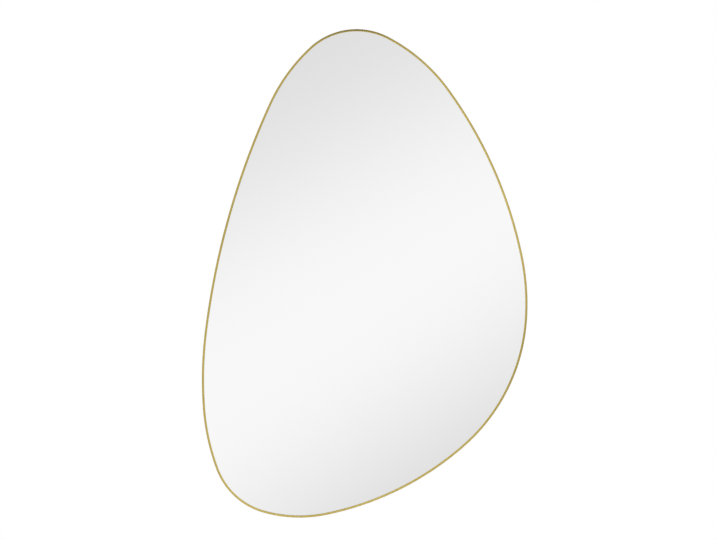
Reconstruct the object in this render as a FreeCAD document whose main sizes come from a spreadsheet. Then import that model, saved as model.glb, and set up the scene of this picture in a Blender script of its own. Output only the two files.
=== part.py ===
import FreeCAD, Part
import math
import os
import Sketcher

# A wall mirror of irregular, pebble-like outline: one bent aluminium section holds the glass and its
# backing board, and two D-ring hangers carry it on the wall.
# Seen from the front, +X is right and +Z is up, and the glass faces -Y. The wall is the plane Y = 0.
# Sizes are counted from the lower left corner of the outline's 600 x 900 box and from the wall. Every piece
# is then placed so that the origin lies on the wall, midway between the two hooks that carry the mirror.

SIZES = [
    # the outline's box, and the four arcs that touch the box's sides
    ("overall_width", 600),
    ("overall_height", 900),
    ("right_extreme_height", 394),
    ("crown_position", 285),
    ("left_extreme_height", 254),
    ("base_position", 180),
    ("right_radius", 431),
    ("crown_radius", 127),
    ("left_radius", 724),
    ("base_radius", 246),
    # how far each of those arcs runs on either side of its extreme point, in degrees
    ("right_sweep_above", 11.5),
    ("right_sweep_below", 4),
    ("crown_sweep_right", 27.5),
    ("crown_sweep_left", 43),
    ("left_sweep_above", 7),
    ("left_sweep_below", 4),
    ("base_sweep_left", 15.5),
    ("base_sweep_right", 11.5),
    # the sweep of the first free arc of each quarter, in degrees; the second takes the rest
    ("right_flank_sweep", 24.5),
    ("left_shoulder_sweep", 22.5),
    ("left_foot_sweep", 16.5),
    ("base_flank_sweep", 30),
    # the frame's section
    ("outer_wall", 1.2),
    ("lip_width", 4),
    ("lip_thickness", 1.2),
    ("lip_bevel", 0.6),
    ("section_width", 11),
    ("shelf_thickness", 1.2),
    ("inner_wall", 1.2),
    ("channel_depth", 4),
    ("rear_lip_thickness", 1.2),
    ("rear_lip_width", 3.4),
    ("seam_gap", 0.3),
    # the splice behind the frame's seam
    ("splice_reach", 32),
    ("splice_thickness", 2),
    ("splice_play", 0.4),
    ("set_screw_diameter", 3),
    ("set_screw_spacing", 13),
    ("set_screw_count", 4),
    ("set_screw_key", 1.5),
    ("set_screw_key_depth", 1.2),
    ("thread_play", 0.05),
    # the layers that the frame holds
    ("glass_thickness", 4),
    ("glass_play", 0.6),
    ("film_thickness", 0.2),
    ("film_setback", 3),
    ("tape_thickness", 1),
    ("tape_width", 20),
    ("tape_pitch", 100),
    ("tape_count", 5),
    ("tape_end_margin", 25),
    ("board_thickness", 6),
    ("board_play", 1),
    # the bowed spring clips between board and shelf
    ("clip_rise", 3.4),
    ("clip_half_length", 18),
    ("clip_width", 7),
    ("clip_thickness", 0.5),
    ("clip_inset", 6.8),
    ("clip_count", 8),
    # the hangers: hooks, D-rings, straps and their screws
    ("hook_center", 289),
    ("hook_height", 652),
    ("hook_spacing", 300),
    ("ring_bar", 2.4),
    ("ring_thickness", 2),
    ("ring_half_width", 9),
    ("ring_corner", 2.5),
    ("ring_side", 3),
    ("ring_play", 0.05),
    ("ring_clearance", 0.3),
    ("strap_sheet", 0.8),
    ("strap_width", 12),
    ("strap_length", 38),
    ("strap_ramp", 6),
    ("strap_end_rounding", 4),
    ("strap_hole_play", 0.3),
    ("first_screw_drop", 20),
    ("screw_pitch", 11),
    ("screw_count", 2),
    ("screw_diameter", 3.5),
    ("screw_bite", 5.2),
    ("screw_head_diameter", 7),
    ("screw_crown_diameter", 5.4),
    ("screw_head_height", 2.2),
    ("pilot_extra_depth", 0.3),
    # the felt pads on the frame's back
    ("pad_diameter", 10),
    ("pad_thickness", 2.5),
    ("pad_count", 4),
]

# The stack of layers from the wall to the front: each level's name, and the size that it adds.
LAYERS = [
    ("frame_back", "pad_thickness"),
    ("channel_floor", "rear_lip_thickness"),
    ("shelf_back", "channel_depth"),
    ("shelf_front", "shelf_thickness"),
    ("board_back", "clip_rise"),
    ("board_front", "board_thickness"),
    ("film_back", "tape_thickness"),
    ("glass_back", "film_thickness"),
    ("glass_front", "glass_thickness"),
    ("frame_front", "lip_thickness"),
]

# The outline's four extreme points, counter-clockwise: where each lies in the box, the sweeps of its arc
# before and after it, and the sweep of the free arc that follows.
EXTREMES = [
    ("right", "Sizes.overall_width", "Sizes.right_extreme_height",
     "right_sweep_below", "right_sweep_above", "right_flank_sweep"),
    ("crown", "Sizes.crown_position", "Sizes.overall_height",
     "crown_sweep_right", "crown_sweep_left", "left_shoulder_sweep"),
    ("left", "0", "Sizes.left_extreme_height",
     "left_sweep_above", "left_sweep_below", "left_foot_sweep"),
    ("base", "Sizes.base_position", "0",
     "base_sweep_left", "base_sweep_right", "base_flank_sweep"),
]

# In the ring of arcs each extreme arc is followed by two free ones, so the base's own arc comes after three
# such groups.
BASE_ARC = 3 * (len(EXTREMES) - 1)

UP = FreeCAD.Vector(0, 0, 1)
doc = FreeCAD.newDocument("irregular_mirror")
nodes = []


# ------------------------------------------------------------------ sizes and levels

def make_sheet():
    cells = doc.addObject("Spreadsheet::Sheet", "Sizes")
    for row, (alias, number) in enumerate(SIZES, start=1):
        cells.set("A%d" % row, alias)
        cells.set("B%d" % row, str(number))
        cells.setAlias("B%d" % row, alias)
    doc.recompute()
    return cells


sheet = make_sheet()


def size(alias):
    """A named size as a number."""
    return float(getattr(sheet, alias))


def amount(expression):
    """What an expression over the sheet's cells comes to, in mm."""
    return float(sheet.evalExpression(expression))


def level(name):
    """A level's height above the wall, as an expression: the sum of the layers up to it."""
    names = [layer for layer, _ in LAYERS]
    stack = LAYERS[:names.index(name) + 1]
    return "(" + " + ".join("Sizes." + thickness for _, thickness in stack) + ")"


# ------------------------------------------------------------------ the outline, worked out as arcs

def direction(degrees):
    return FreeCAD.Vector(math.cos(math.radians(degrees)), math.sin(math.radians(degrees)), 0)


def free_radii(chord, first_radius, last_radius, turns):
    """The radii of a quarter's two free arcs, so that its four tangent arcs span the given chord."""
    steps = [direction(b) - direction(a) for a, b in zip(turns, turns[1:])]
    rest = chord - steps[0] * first_radius - steps[3] * last_radius
    cross = steps[1].x * steps[2].y - steps[1].y * steps[2].x
    second = (rest.x * steps[2].y - rest.y * steps[2].x) / cross
    third = (steps[1].x * rest.y - steps[1].y * rest.x) / cross
    return second, third


def outline_quarter(number):
    """The four arcs from one extreme point to the next as (centre, radius, first direction, last direction)."""
    name, x, y, _, after, free = EXTREMES[number]
    next_name, next_x, next_y, before, _, _ = EXTREMES[(number + 1) % 4]
    point = FreeCAD.Vector(amount(x), amount(y), 0)
    finish = FreeCAD.Vector(amount(next_x), amount(next_y), 0)
    start = 90 * number
    turns = [start, start + size(after), start + size(after) + size(free), start + 90 - size(before), start + 90]
    radii = [size(name + "_radius"), 0, 0, size(next_name + "_radius")]
    radii[1:3] = free_radii(finish - point, radii[0], radii[3], turns)
    arcs = []
    for radius, turn, end in zip(radii, turns, turns[1:]):
        center = point - direction(turn) * radius
        arcs.append((center, radius, turn, end))
        point = center + direction(end) * radius
    return arcs


def outline_ring(inset):
    """The outline's twelve arcs at an inset, counter-clockwise from the right one, each extreme arc whole."""
    quarters = [outline_quarter(number) for number in range(4)]
    ring = []
    for number, quarter in enumerate(quarters):
        center, radius, _, end = quarter[0]
        start = 90 * number - size(EXTREMES[number][3])
        ring.append((center, radius - inset, start, end))
        ring += [(center, radius - inset, start, end) for center, radius, start, end in quarter[1:3]]
    return ring


def arc_length(arc):
    _, radius, start, end = arc
    return math.radians(end - start) * radius


def outline_point(share, inset):
    """The point at a share of the way round the inset outline, counter-clockwise from the start of the base
    arc, and the outward direction there in degrees."""
    ring = outline_ring(inset)
    left = share * sum(arc_length(arc) for arc in ring)
    for arc in ring[BASE_ARC:] + ring[:BASE_ARC]:
        center, radius, start, end = arc
        if left <= arc_length(arc):
            turn = start + math.degrees(left / radius)
            return center + direction(turn) * radius, turn
        left -= arc_length(arc)
    return center + direction(end) * radius, end


def outline_chord(x, inset):
    """The lowest and highest point of the inset outline on the upright line at x."""
    heights = []
    for center, radius, start, end in outline_ring(inset):
        reach = (x - center.x) / radius
        if abs(reach) > 1:
            continue
        lean = math.degrees(math.acos(reach))
        heights += [center.y + radius * math.sin(math.radians(turn))
                    for turn in (-lean, lean, 360 - lean) if start <= turn <= end]
    return min(heights), max(heights)


# ------------------------------------------------------------------ document helpers

def new_body(label, x="0", y="0", z="0"):
    """A body placed by expressions: x and z in the outline's box, y counted from the wall."""
    body = doc.addObject("PartDesign::Body", label)
    body.setExpression("Placement.Base.x", "%s - Sizes.hook_center" % x)
    body.setExpression("Placement.Base.y", y)
    body.setExpression("Placement.Base.z", "%s - Sizes.hook_height" % z)
    nodes.append(body)
    return body


def rim_body(label, share, inset):
    """A body at a share of the way round the rim, with its own +Z pointing outwards."""
    point, turn = outline_point(share, inset)
    body = doc.addObject("PartDesign::Body", label)
    place = FreeCAD.Vector(point.x - size("hook_center"), 0, point.y - size("hook_height"))
    body.Placement = FreeCAD.Placement(place, FreeCAD.Rotation(FreeCAD.Vector(0, 1, 0), 90 - turn))
    nodes.append(body)
    return body


def new_sketch(body, role, name, offset="0"):
    sketch = body.newObject("Sketcher::SketchObject", name)
    sketch.AttachmentSupport = [(origin_item(body, role), "")]
    sketch.MapMode = "FlatFace"
    sketch.setExpression("AttachmentOffset.Base.z", offset)
    return sketch


def origin_item(body, role):
    return [item for item in body.Origin.OriginFeatures if item.Role == role][0]


def pad(body, sketch, name, length, both_ways=False):
    feature = body.newObject("PartDesign::Pad", name)
    feature.Profile = sketch
    feature.setExpression("Length", length)
    feature.Midplane = both_ways
    return feature


def pocket(body, sketch, name, depth, reversed_way=False):
    feature = body.newObject("PartDesign::Pocket", name)
    feature.Profile = sketch
    feature.setExpression("Length", depth)
    feature.Reversed = reversed_way
    return feature


def pocket_through(body, sketch, name):
    feature = body.newObject("PartDesign::Pocket", name)
    feature.Profile = sketch
    feature.Type = "ThroughAll"
    feature.Midplane = True
    return feature


def revolve(body, sketch, name):
    """Turn a half section about its sketch's upright axis."""
    feature = body.newObject("PartDesign::Revolution", name)
    feature.Profile = sketch
    feature.ReferenceAxis = (sketch, ["V_Axis"])
    feature.Angle = 360
    return feature


def sweep(body, section, path, name):
    feature = body.newObject("PartDesign::AdditivePipe", name)
    feature.Profile = section
    feature.Spine = (path, [])
    return feature


# ------------------------------------------------------------------ sketch helpers

def bind(sketch, name, expression, kind, *places):
    """Add a driving dimension and tie it to an expression; an angle is given in degrees."""
    value = amount(expression)
    if kind == "Angle":
        value = math.radians(value)
        expression = "(%s) * 1 deg" % expression
    index = sketch.addConstraint(Sketcher.Constraint(kind, *places, value))
    sketch.renameConstraint(index, name)
    sketch.setExpression("Constraints." + name, expression)


def hold(sketch, name, point, x=None, y=None):
    """Hold a point at coordinates given as expressions; a coordinate of 0 puts it on the axis."""
    for kind, axis, expression in (("DistanceX", -2, x), ("DistanceY", -1, y)):
        if expression == "0":
            sketch.addConstraint(Sketcher.Constraint("PointOnObject", *point, axis))
        elif expression:
            bind(sketch, name + "_" + kind[-1].lower(), expression, kind, -1, 1, *point)


def tangent_chain(sketch, pieces):
    for (first, end), (second, start) in pieces:
        sketch.addConstraint(Sketcher.Constraint("Tangent", first, end, second, start))


def draw_arc(sketch, center, radius, start, end):
    circle = Part.Circle(center, UP, radius)
    return sketch.addGeometry(Part.ArcOfCircle(circle, math.radians(start), math.radians(end)))


def draw_line(sketch, start, end):
    return sketch.addGeometry(Part.LineSegment(start, end))


def draw_circle(sketch, name, x, y, diameter):
    center = FreeCAD.Vector(amount(x), amount(y), 0)
    circle = sketch.addGeometry(Part.Circle(center, UP, amount(diameter) / 2))
    hold(sketch, name, (circle, 3), x, y)
    bind(sketch, name + "_diameter", diameter, "Diameter", circle)


def hold_extreme_arc(sketch, arc, number, inset, ends=("before", "after")):
    """Tie an extreme arc's centre, radius and swept ends to the sheet."""
    name, x, y, before, after, _ = EXTREMES[number]
    radius = "Sizes.%s_radius" % name
    inwards = " - " if number < 2 else " + "
    level_wise = number % 2 == 0
    center = (x + inwards + radius, y) if level_wise else (x, y + inwards + radius)
    hold(sketch, name, (arc, 3), *center)
    bind(sketch, name + "_radius", radius + " - " + inset, "Radius", arc)
    axis = "DistanceY" if level_wise else "DistanceX"
    spans = {"before": (before, (arc, 1), (arc, 3)), "after": (after, (arc, 3), (arc, 2))}
    for end in ends:
        sweep_size, start, finish = spans[end]
        if number in (1, 2):
            start, finish = finish, start
        reach = "(%s - %s) * sin(Sizes.%s * 1 deg)" % (radius, inset, sweep_size)
        bind(sketch, name + "_" + end, reach, axis, *start, *finish)


def hold_free_arcs(sketch, arcs):
    for number, (_, _, _, _, _, free) in enumerate(EXTREMES):
        bind(sketch, free, "Sizes." + free, "Angle", arcs[3 * number + 1])


def outline_sketch(body, name, inset, height):
    """The closed outline at an inset and a height above the wall, both expressions."""
    sketch = new_sketch(body, "XZ_Plane", name, height)
    arcs = [draw_arc(sketch, *arc) for arc in outline_ring(amount(inset))]
    tangent_chain(sketch, [((a, 2), (b, 1)) for a, b in zip(arcs, arcs[1:] + arcs[:1])])
    for number in range(4):
        hold_extreme_arc(sketch, arcs[3 * number], number, inset)
    hold_free_arcs(sketch, arcs)
    return sketch


def seam_outline_sketch(body, name, height):
    """The outer outline as an open path: from the base extreme once round, and short of it by the seam."""
    sketch = new_sketch(body, "XZ_Plane", name, height)
    ring = outline_ring(0)
    center, radius, start, end = ring[BASE_ARC]
    ring[BASE_ARC] = (center, radius, 270, end)
    arcs = [draw_arc(sketch, *arc) for arc in ring]
    first = arcs[BASE_ARC]
    gap = math.degrees(math.asin(size("seam_gap") / radius))
    last = draw_arc(sketch, center, radius, start, 270 - gap)
    loop = arcs[BASE_ARC:] + arcs[:BASE_ARC] + [last]
    tangent_chain(sketch, [((a, 2), (b, 1)) for a, b in zip(loop, loop[1:])])
    for number in range(3):
        hold_extreme_arc(sketch, arcs[3 * number], number, "0")
    hold_extreme_arc(sketch, first, 3, "0", ends=("after",))
    hold_free_arcs(sketch, arcs)
    sketch.addConstraint(Sketcher.Constraint("Vertical", first, 1, first, 3))
    sketch.addConstraint(Sketcher.Constraint("Coincident", first, 3, last, 3))
    sketch.addConstraint(Sketcher.Constraint("Equal", first, last))
    bind(sketch, "seam_gap", "Sizes.seam_gap", "DistanceX", last, 2, last, 3)
    reach = "Sizes.base_radius * sin(Sizes.base_sweep_left * 1 deg)"
    bind(sketch, "base_before", reach, "DistanceX", last, 1, last, 3)
    return sketch


def polygon(sketch, corners):
    """A closed profile of straight lines; each corner is held at (x, y), given as expressions."""
    places = [FreeCAD.Vector(amount(x), amount(y), 0) for x, y in corners]
    lines = [draw_line(sketch, start, end) for start, end in zip(places, places[1:] + places[:1])]
    for index, (x, y) in enumerate(corners):
        sketch.addConstraint(Sketcher.Constraint("Coincident", lines[index - 1], 2, lines[index], 1))
        hold(sketch, "corner_%d" % index, (lines[index], 1), x, y)


def band_profile(sketch, center_y, inner_radius, outer_radius, half_reach, middle):
    """A bent band between two arcs about one centre on the upright axis, with radial ends. The middle is
    the direction from the centre to the band's middle, and half_reach that of its inner ends sideways."""
    center = FreeCAD.Vector(0, amount(center_y), 0)
    half = math.degrees(math.asin(amount(half_reach) / amount(inner_radius)))
    inner = draw_arc(sketch, center, amount(inner_radius), middle - half, middle + half)
    outer = draw_arc(sketch, center, amount(outer_radius), middle - half, middle + half)
    bind(sketch, "inner_radius", inner_radius, "Radius", inner)
    bind(sketch, "outer_radius", outer_radius, "Radius", outer)
    hold(sketch, "center", (inner, 3), "0", center_y)
    sketch.addConstraint(Sketcher.Constraint("Coincident", inner, 3, outer, 3))
    for end in (1, 2):
        line = draw_line(sketch, center + direction(middle - half) * amount(inner_radius),
                         center + direction(middle - half) * amount(outer_radius))
        sketch.addConstraint(Sketcher.Constraint("Coincident", line, 1, inner, end))
        sketch.addConstraint(Sketcher.Constraint("Coincident", line, 2, outer, end))
        sketch.addConstraint(Sketcher.Constraint("PointOnObject", inner, 3, line))
        half = -half
    sign = 1 if middle > 180 else -1
    for end, name in ((2, "right_reach"), (1, "left_reach")):
        bind(sketch, name, "%d * (%s)" % (sign, half_reach), "DistanceX", inner, 3, inner, end)
        sign = -sign


def draw_hexagon(sketch, center_y, across_flats):
    """A regular hexagon about a point of the upright axis, with two upright sides."""
    center = FreeCAD.Vector(0, amount(center_y), 0)
    reach = across_flats + " / sqrt(3)"
    ring = sketch.addGeometry(Part.Circle(center, UP, amount(reach)), True)
    hold(sketch, "hexagon", (ring, 3), "0", center_y)
    bind(sketch, "hexagon_reach", reach, "Radius", ring)
    corners = [center + direction(60 * turn - 30) * amount(reach) for turn in range(6)]
    sides = [draw_line(sketch, start, end) for start, end in zip(corners, corners[1:] + corners[:1])]
    for side, following in zip(sides, sides[1:] + sides[:1]):
        sketch.addConstraint(Sketcher.Constraint("Coincident", side, 2, following, 1))
        sketch.addConstraint(Sketcher.Constraint("PointOnObject", side, 1, ring))
    for side in sides[1:]:
        sketch.addConstraint(Sketcher.Constraint("Equal", sides[0], side))
    sketch.addConstraint(Sketcher.Constraint("Vertical", sides[0]))


# ------------------------------------------------------------------ the frame and its splice

def make_frame_rail():
    """One extruded section, bent round the outline and butted at the base. From the outer face inwards it
    has a bevelled front lip over the glass, the outer wall, a shelf behind the board and, behind the
    shelf, a channel with two hooked rear lips."""
    body = new_body("frame_rail")
    path = seam_outline_sketch(body, "frame_path", level("frame_back"))
    section = new_sketch(body, "YZ_Plane", "frame_section", "Sizes.base_position")
    front, lip, shelf = "-" + level("frame_front"), "-" + level("glass_front"), "-" + level("shelf_front")
    shelf_back, floor, back = "-" + level("shelf_back"), "-" + level("channel_floor"), "-" + level("frame_back")
    wall, width = "Sizes.outer_wall", "Sizes.section_width"
    inner = "Sizes.section_width - Sizes.inner_wall"
    outer_hook = "Sizes.rear_lip_width"
    inner_hook = "Sizes.section_width - Sizes.rear_lip_width"
    bevel = front + " + Sizes.lip_bevel"
    polygon(section, [
        (bevel, "0"),
        (front, "Sizes.lip_bevel"),
        (front, "Sizes.lip_width"),
        (lip, "Sizes.lip_width"),
        (lip, wall),
        (shelf, wall),
        (shelf, width),
        (back, width),
        (back, inner_hook),
        (floor, inner_hook),
        (floor, inner),
        (shelf_back, inner),
        (shelf_back, wall),
        (floor, wall),
        (floor, outer_hook),
        (back, outer_hook),
        (back, "0"),
    ])
    sweep(body, section, path, "bent_section")


# The middle of the channel's slot, counted from the base arc's centre, and the angle between set screws.
SLOT_RADIUS = "(Sizes.base_radius - Sizes.section_width / 2)"
SCREW_STEP = "(Sizes.set_screw_spacing / %s * 1 rad)" % SLOT_RADIUS


def make_splice_plate():
    """A curved steel plate in the frame's channel, behind the seam, with a threaded hole per set screw."""
    body = new_body("splice_plate", "Sizes.base_position", "0", "Sizes.base_radius")
    blank = new_sketch(body, "XZ_Plane", "splice_blank", level("channel_floor"))
    inner = "Sizes.base_radius - Sizes.section_width + Sizes.inner_wall + Sizes.splice_play"
    outer = "Sizes.base_radius - Sizes.outer_wall - Sizes.splice_play"
    band_profile(blank, "0", inner, outer, "Sizes.splice_reach", 270)
    pad(body, blank, "splice_pad", "Sizes.splice_thickness")
    holes = new_sketch(body, "XZ_Plane", "splice_holes")
    for index in range(int(size("set_screw_count"))):
        turn = "(%d - (Sizes.set_screw_count - 1) / 2) * %s" % (index, SCREW_STEP)
        draw_circle(holes, "hole_%d" % index, "%s * sin(%s)" % (SLOT_RADIUS, turn),
                    "-%s * cos(%s)" % (SLOT_RADIUS, turn),
                    "Sizes.set_screw_diameter + 2 * Sizes.thread_play")
    pocket_through(body, holes, "threaded_holes")


def make_splice_screws():
    """Set screws that bear on the shelf and jack the plate against the rear lips."""
    body = new_body("splice_screws", "Sizes.base_position", "0", "Sizes.base_radius")
    shank = new_sketch(body, "XZ_Plane", "set_screw_shank", level("channel_floor"))
    draw_circle(shank, "shank", "0", "-" + SLOT_RADIUS, "Sizes.set_screw_diameter")
    blank = pad(body, shank, "set_screw", "Sizes.channel_depth")
    key = new_sketch(body, "XZ_Plane", "set_screw_key", level("channel_floor"))
    draw_hexagon(key, "-" + SLOT_RADIUS, "Sizes.set_screw_key")
    socket = pocket(body, key, "key_socket", "Sizes.set_screw_key_depth", reversed_way=True)
    pattern = body.newObject("PartDesign::PolarPattern", "screw_row")
    pattern.Originals = [blank, socket]
    pattern.Axis = (origin_item(body, "Y_Axis"), [""])
    pattern.setExpression("Occurrences", "Sizes.set_screw_count")
    pattern.setExpression("Angle", "(Sizes.set_screw_count - 1) * " + SCREW_STEP)
    body.Tip = pattern
    half_row = (size("set_screw_count") - 1) / 2 * size("set_screw_spacing") / amount(SLOT_RADIUS)
    body.Placement.Rotation = FreeCAD.Rotation(FreeCAD.Vector(0, 1, 0), -math.degrees(half_row))


# ------------------------------------------------------------------ the layers that the frame holds

GLASS_INSET = "(Sizes.outer_wall + Sizes.glass_play)"
FILM_INSET = "(Sizes.outer_wall + Sizes.glass_play + Sizes.film_setback)"
BOARD_INSET = "(Sizes.outer_wall + Sizes.board_play)"


def make_layer(label, inset, back, thickness):
    """A sheet cut to the inset outline, from a level forwards."""
    body = new_body(label)
    outline = outline_sketch(body, label + "_outline", inset, level(back))
    pad(body, outline, label + "_pad", "Sizes." + thickness)
    return body


def hook_x(side):
    return "(Sizes.hook_center + %d * Sizes.hook_spacing / 2)" % side


# A ring turned up carries the mirror with its bow on the hook, so its hinge lies that far below the hook.
BOW_DROP = "(Sizes.ring_corner + Sizes.ring_side)"
RING_REACH = "(%s + Sizes.ring_half_width - Sizes.ring_bar / 2)" % BOW_DROP
HINGE_Z = "(Sizes.hook_height - %s)" % RING_REACH
RING_RISE = "(2 * Sizes.strap_sheet + Sizes.ring_clearance + Sizes.ring_thickness / 2)"
HINGE_Y = "%s - %s" % (RING_RISE, level("board_back"))


def make_backing_board():
    """The fibreboard back, with blind pilot holes for the hangers' screws."""
    body = make_layer("backing_board", BOARD_INSET, "board_back", "board_thickness")
    pilots = new_sketch(body, "XZ_Plane", "pilot_holes", level("board_back"))
    for side in (-1, 1):
        for index in range(int(size("screw_count"))):
            z = "%s - Sizes.first_screw_drop - %d * Sizes.screw_pitch" % (HINGE_Z, index)
            draw_circle(pilots, "pilot_%d_%d" % (side + 1, index), hook_x(side), z,
                        "Sizes.screw_diameter + 2 * Sizes.thread_play")
    pocket(body, pilots, "pilots", "Sizes.screw_bite + Sizes.pilot_extra_depth", reversed_way=True)


def make_foam_tapes():
    """Upright strips of double-sided foam between film and board, each as tall as the outline allows."""
    count = int(size("tape_count"))
    inset = amount(FILM_INSET)
    half = size("tape_width") / 2
    for index in range(count):
        x = size("hook_center") + (index - (count - 1) / 2) * size("tape_pitch")
        low_left, high_left = outline_chord(x - half, inset)
        low_right, high_right = outline_chord(x + half, inset)
        low = max(low_left, low_right) + size("tape_end_margin")
        high = min(high_left, high_right) - size("tape_end_margin")
        tape = doc.addObject("Part::Box", "foam_tape_%d" % (index + 1))
        tape.setExpression("Length", "Sizes.tape_width")
        tape.setExpression("Width", "Sizes.tape_thickness")
        tape.Height = high - low
        tape.Placement.Base = FreeCAD.Vector(x - half - size("hook_center"), 0, low - size("hook_height"))
        tape.setExpression("Placement.Base.y", "-" + level("film_back"))
        nodes.append(tape)


def make_spring_clips():
    """Bowed leaf springs: each crown bears on the frame's shelf and its two ends on the board."""
    count = int(size("clip_count"))
    sag = "(Sizes.clip_rise - Sizes.clip_thickness)"
    inner = "((Sizes.clip_half_length ^ 2 + %s ^ 2) / (2 * %s))" % (sag, sag)
    outer = "(%s + Sizes.clip_thickness)" % inner
    for index in range(count):
        body = rim_body("spring_clip_%d" % (index + 1), (index + 0.5) / count, size("clip_inset"))
        bow = new_sketch(body, "XY_Plane", "clip_bow_%d" % (index + 1))
        center = "-%s - %s" % (level("shelf_front"), outer)
        band_profile(bow, center, inner, outer, "Sizes.clip_half_length", 90)
        pad(body, bow, "clip_strip_%d" % (index + 1), "Sizes.clip_width", both_ways=True)


# ------------------------------------------------------------------ the hangers

def d_outline(sketch, name, top, half_width, corner):
    """A D lying on its bow: a level top, two rounded corners, short sides and a half-round bow."""
    low, half, radius, ceiling = -amount(BOW_DROP), amount(half_width), amount(corner), amount(top)
    point = FreeCAD.Vector
    leg = draw_line(sketch, point(radius - half, ceiling, 0), point(half - radius, ceiling, 0))
    right_corner = draw_arc(sketch, point(half - radius, ceiling - radius, 0), radius, 0, 90)
    right_side = draw_line(sketch, point(half, ceiling - radius, 0), point(half, low, 0))
    bow = draw_arc(sketch, point(0, low, 0), half, 180, 360)
    left_side = draw_line(sketch, point(-half, low, 0), point(-half, ceiling - radius, 0))
    left_corner = draw_arc(sketch, point(radius - half, ceiling - radius, 0), radius, 90, 180)
    tangent_chain(sketch, [((leg, 2), (right_corner, 2)), ((right_corner, 1), (right_side, 1)),
                           ((right_side, 2), (bow, 2)), ((bow, 1), (left_side, 1)),
                           ((left_side, 2), (left_corner, 2)), ((left_corner, 1), (leg, 1))])
    for line, kind in ((leg, "Horizontal"), (right_side, "Vertical"), (left_side, "Vertical")):
        sketch.addConstraint(Sketcher.Constraint(kind, line))
    sketch.addConstraint(Sketcher.Constraint("Equal", right_corner, left_corner))
    hold(sketch, name + "_leg", (leg, 1), y=top)
    hold(sketch, name + "_bow", (bow, 3), "0", "-" + BOW_DROP)
    bind(sketch, name + "_corner", corner, "Radius", right_corner)
    bind(sketch, name + "_half_width", half_width, "Radius", bow)


def make_hanger_ring(name, side):
    """A D-ring stamped from steel plate: a straight leg along the hinge, and a bow that hangs below it."""
    body = new_body("hanger_ring_" + name, hook_x(side), HINGE_Y, HINGE_Z)
    plate = new_sketch(body, "XZ_Plane", "ring_outline_" + name)
    half_bar = "Sizes.ring_bar / 2"
    d_outline(plate, "outer", half_bar, "Sizes.ring_half_width + " + half_bar,
              "Sizes.ring_corner + " + half_bar)
    d_outline(plate, "inner", "-" + half_bar, "Sizes.ring_half_width - " + half_bar,
              "Sizes.ring_corner - " + half_bar)
    pad(body, plate, "ring_" + name, "Sizes.ring_thickness", both_ways=True)


def make_hanger_strap(name, side):
    """A strip folded round the ring's leg and closed on itself, so its flat is two sheets thick."""
    body = new_body("hanger_strap_" + name, hook_x(side), HINGE_Y, HINGE_Z)
    fold = new_sketch(body, "YZ_Plane", "strap_fold_" + name)
    eye = "(sqrt(Sizes.ring_bar ^ 2 + Sizes.ring_thickness ^ 2) / 2 + Sizes.ring_play)"
    roll = "(%s + Sizes.strap_sheet)" % eye
    board = "-" + RING_RISE
    face = "(2 * Sizes.strap_sheet - %s)" % RING_RISE
    point = FreeCAD.Vector
    back, front = amount(board), amount(face)
    foot, bend, radius = -size("strap_length"), -size("strap_ramp"), amount(roll)
    board_side = draw_line(fold, point(back, foot, 0), point(back, bend, 0))
    board_ramp = draw_line(fold, point(back, bend, 0), point(-radius, 0, 0))
    over = draw_arc(fold, point(0, 0, 0), radius, 0, 180)
    face_ramp = draw_line(fold, point(radius, 0, 0), point(front, bend, 0))
    face_side = draw_line(fold, point(front, bend, 0), point(front, foot, 0))
    end = draw_line(fold, point(front, foot, 0), point(back, foot, 0))
    joints = [((board_side, 2), (board_ramp, 1)), ((face_ramp, 2), (face_side, 1)),
              ((face_side, 2), (end, 1)), ((end, 2), (board_side, 1))]
    for (first, finish), (second, start) in joints:
        fold.addConstraint(Sketcher.Constraint("Coincident", first, finish, second, start))
    tangent_chain(fold, [((board_ramp, 2), (over, 2)), ((over, 1), (face_ramp, 1))])
    for line, kind in ((board_side, "Vertical"), (face_side, "Vertical"), (end, "Horizontal")):
        fold.addConstraint(Sketcher.Constraint(kind, line))
    hold(fold, "foot", (board_side, 1), board, "-Sizes.strap_length")
    hold(fold, "board_bend", (board_side, 2), y="-Sizes.strap_ramp")
    hold(fold, "face_bend", (face_side, 1), face, "-Sizes.strap_ramp")
    hold(fold, "over", (over, 3), "0", "0")
    bind(fold, "roll", roll, "Radius", over)
    draw_circle(fold, "eye", "0", "0", "2 * " + eye)
    pad(body, fold, "strap_" + name, "Sizes.strap_width", both_ways=True)
    holes = new_sketch(body, "XZ_Plane", "strap_holes_" + name)
    for index in range(int(size("screw_count"))):
        draw_circle(holes, "hole_%d" % index, "0", "-Sizes.first_screw_drop - %d * Sizes.screw_pitch" % index,
                    "Sizes.screw_diameter + 2 * Sizes.strap_hole_play")
    drilled = pocket_through(body, holes, "screw_holes_" + name)
    doc.recompute()
    corners = ["Edge%d" % number for number, edge in enumerate(drilled.Shape.Edges, start=1)
               if is_foot_corner(edge, foot)]
    rounded = body.newObject("PartDesign::Fillet", "strap_end_" + name)
    rounded.Base = (drilled, corners)
    rounded.setExpression("Radius", "Sizes.strap_end_rounding")
    body.Tip = rounded


def is_foot_corner(edge, foot):
    """Whether an edge of a strap runs through its thickness at a lower corner."""
    box = edge.BoundBox
    return abs(box.ZMin - foot) < 0.01 and abs(box.ZMax - foot) < 0.01 and box.XLength < 0.01


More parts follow.
